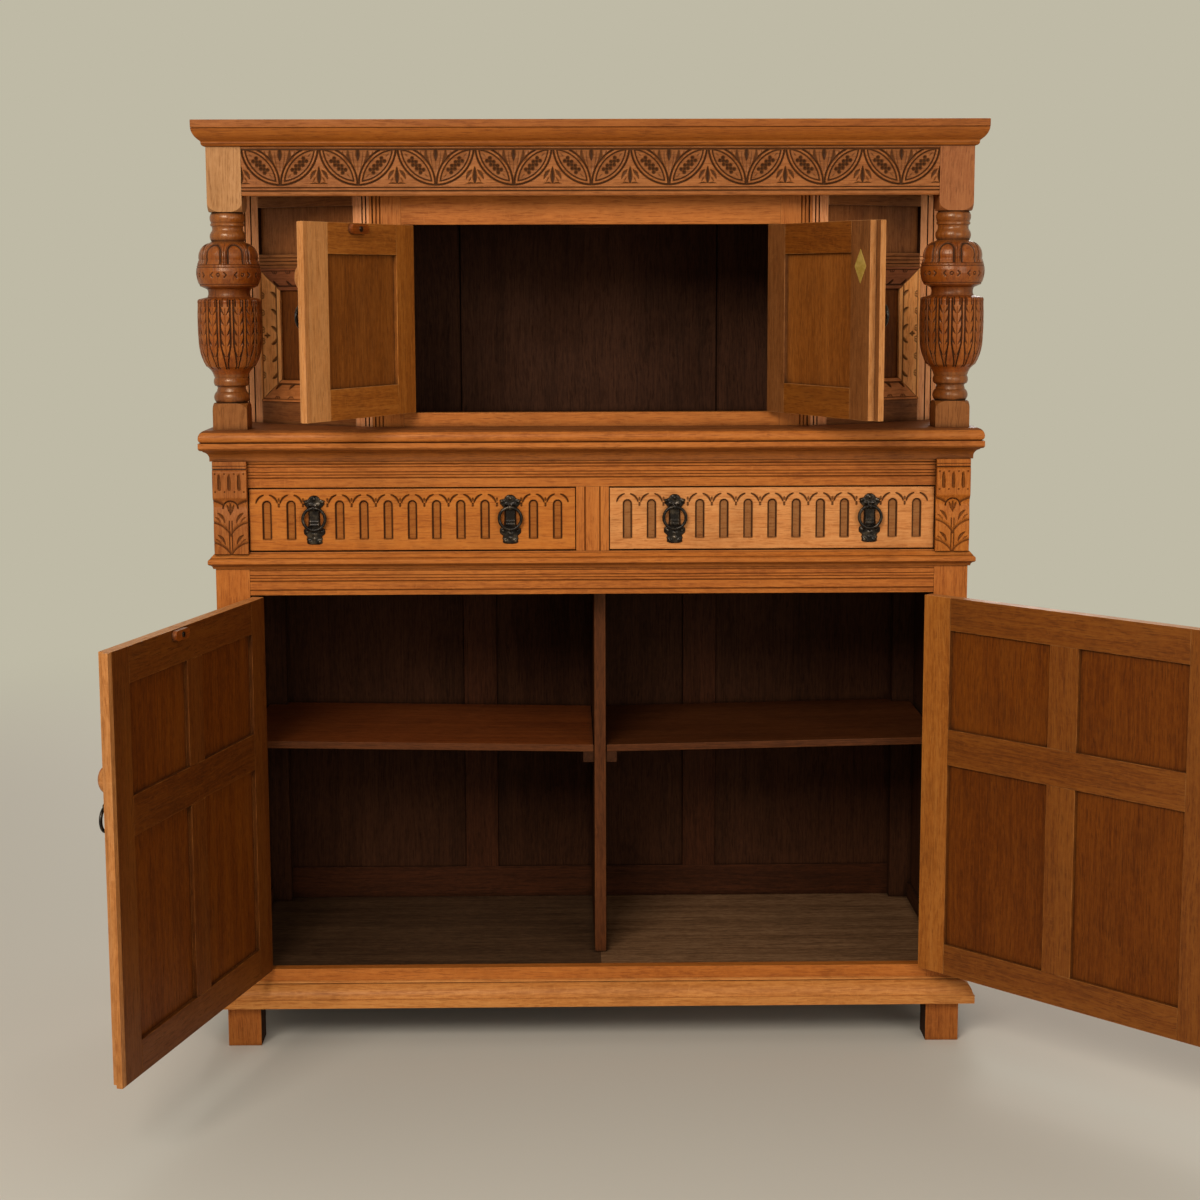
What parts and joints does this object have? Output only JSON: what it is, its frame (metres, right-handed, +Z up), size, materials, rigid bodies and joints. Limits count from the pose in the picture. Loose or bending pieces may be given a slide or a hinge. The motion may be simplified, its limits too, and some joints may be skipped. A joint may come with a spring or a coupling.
{
  "type": "court cupboard",
  "caption": "Carved oak court cupboard: doored lower stage with drawers above, recessed upper cupboard between turned posts under a carved frieze.",
  "frame": {"origin": "on the floor, in the middle of the lower carcase's footprint", "axes": "+X to the cupboard's right as seen from the front, +Y to the back, +Z up; the doors are on the -Y side"},
  "size_m": [1.7798, 1.1128, 1.653],
  "materials": {
    "oak": "waxed golden oak",
    "carved_oak": "waxed red-brown oak",
    "inner_oak": "dull unpolished oak",
    "iron": "black wrought iron",
    "brass": "dull brass"
  },
  "bodies": {
    "carcase": {"posts": "oak", "front_rails": "oak", "side_rails": "oak", "side_panels": "oak", "base_moulding": "oak", "waist_moulding": "oak", "drawer_divider": "oak", "corbels": "oak", "middle_top": "oak", "middle_moulding": "oak", "cupboard_floor": "inner_oak", "dust_board": "inner_oak", "drawer_runners": "inner_oak", "partition": "inner_oak", "shelves": "inner_oak", "battens": "inner_oak", "back_frame": "inner_oak", "back_panels": "inner_oak", "turned_posts": "carved_oak", "frieze_rails": "carved_oak", "cornice": "oak", "top_board": "oak", "upper_front_frame": "oak", "canted_frames": "oak", "canted_panels": "oak", "carved_frames": "carved_oak", "upper_sides": "inner_oak", "upper_back": "inner_oak", "fixed_hinges": "iron"},
    "lower_left_door": {"lower_left_door_frame": "oak", "lower_left_door_panels": "oak", "lower_left_door_strip": "oak", "lower_left_door_ironwork": "iron"},
    "lower_right_door": {"lower_right_door_frame": "oak", "lower_right_door_panels": "oak", "lower_right_door_ironwork": "iron"},
    "upper_left_door": {"upper_left_door_frame": "oak", "upper_left_door_panels": "oak", "upper_left_door_strip": "oak", "upper_left_door_ironwork": "iron"},
    "upper_right_door": {"upper_right_door_frame": "oak", "upper_right_door_panels": "oak", "upper_right_door_ironwork": "iron", "brass_lozenge": "brass"},
    "left_drawer": {"left_drawer_front": "oak", "left_drawer_box": "inner_oak", "left_drawer_plates": "iron"},
    "right_drawer": {"right_drawer_front": "oak", "right_drawer_box": "inner_oak", "right_drawer_plates": "iron"},
    "lower_left_door_ring": {"lower_left_door_ring": "iron"},
    "lower_right_door_ring": {"lower_right_door_ring": "iron"},
    "upper_left_door_ring": {"upper_left_door_ring": "iron"},
    "upper_right_door_ring": {"upper_right_door_ring": "iron"},
    "lower_left_door_button": {"lower_left_door_button": "oak"},
    "upper_left_door_button": {"upper_left_door_button": "oak"},
    "left_drawer_left_ring": {"left_drawer_left_ring": "iron"},
    "left_drawer_right_ring": {"left_drawer_right_ring": "iron"},
    "right_drawer_left_ring": {"right_drawer_left_ring": "iron"},
    "right_drawer_right_ring": {"right_drawer_right_ring": "iron"}
  },
  "joints": [
    {"name": "lower_left_door", "type": "hinge", "parent": "carcase", "child": "lower_left_door", "pos_m": [-0.605, -0.2594, 0.4865], "axis": [0, 0, -1], "range_deg": [-104.7, 45.3]},
    {"name": "lower_right_door", "type": "hinge", "parent": "carcase", "child": "lower_right_door", "pos_m": [0.605, -0.2594, 0.4865], "axis": [0, 0, 1], "range_deg": [-132, 18]},
    {"name": "upper_left_door", "type": "hinge", "parent": "carcase", "child": "upper_left_door", "pos_m": [-0.333, -0.1994, 1.312], "axis": [0, 0, -1], "range_deg": [-118, 27]},
    {"name": "upper_right_door", "type": "hinge", "parent": "carcase", "child": "upper_right_door", "pos_m": [0.333, -0.1994, 1.312], "axis": [0, 0, 1], "range_deg": [-115.5, 29.5]},
    {"name": "lower_left_door_ring", "type": "hinge", "parent": "lower_left_door", "child": "lower_left_door_ring", "pos_m": [-0.75567, -0.80968, 0.5815], "axis": [0.2538, 0.9673, 0], "range_deg": [0, 120]},
    {"name": "lower_right_door_ring", "type": "hinge", "parent": "lower_right_door", "child": "lower_right_door_ring", "pos_m": [1.0003, -0.68932, 0.5815], "axis": [0.6691, -0.7431, 0], "range_deg": [0, 120]},
    {"name": "upper_left_door_ring", "type": "hinge", "parent": "upper_left_door", "child": "upper_left_door_ring", "pos_m": [-0.47852, -0.4601, 1.3405], "axis": [0.4695, 0.8829, 0], "range_deg": [0, 120]},
    {"name": "upper_right_door_ring", "type": "hinge", "parent": "upper_right_door", "child": "upper_right_door_ring", "pos_m": [0.47282, -0.47838, 1.3405], "axis": [0.4305, -0.9026, 0], "range_deg": [0, 120]},
    {"name": "lower_left_door_button", "type": "hinge", "parent": "lower_left_door", "child": "lower_left_door_button", "pos_m": [-0.66737, -0.61419, 0.8175], "axis": [-0.9673, 0.2538, 0], "continuous": true},
    {"name": "upper_left_door_button", "type": "hinge", "parent": "upper_left_door", "child": "upper_left_door_button", "pos_m": [-0.39175, -0.37316, 1.4655], "axis": [-0.8829, 0.4695, 0], "continuous": true},
    {"name": "left_drawer", "type": "slide", "parent": "carcase", "child": "left_drawer", "axis": [0, -1, 0], "range_m": [0, 0.3]},
    {"name": "right_drawer", "type": "slide", "parent": "carcase", "child": "right_drawer", "axis": [0, -1, 0], "range_m": [0, 0.3]},
    {"name": "left_drawer_left_ring", "type": "hinge", "parent": "left_drawer", "child": "left_drawer_left_ring", "pos_m": [-0.49, -0.2655, 0.9845], "axis": [-1, 0, 0], "range_deg": [0, 120]},
    {"name": "left_drawer_right_ring", "type": "hinge", "parent": "left_drawer", "child": "left_drawer_right_ring", "pos_m": [-0.145, -0.2655, 0.9845], "axis": [-1, 0, 0], "range_deg": [0, 120]},
    {"name": "right_drawer_left_ring", "type": "hinge", "parent": "right_drawer", "child": "right_drawer_left_ring", "pos_m": [0.145, -0.2655, 0.9845], "axis": [-1, 0, 0], "range_deg": [0, 120]},
    {"name": "right_drawer_right_ring", "type": "hinge", "parent": "right_drawer", "child": "right_drawer_right_ring", "pos_m": [0.49, -0.2655, 0.9845], "axis": [-1, 0, 0], "range_deg": [0, 120]}
  ]
}
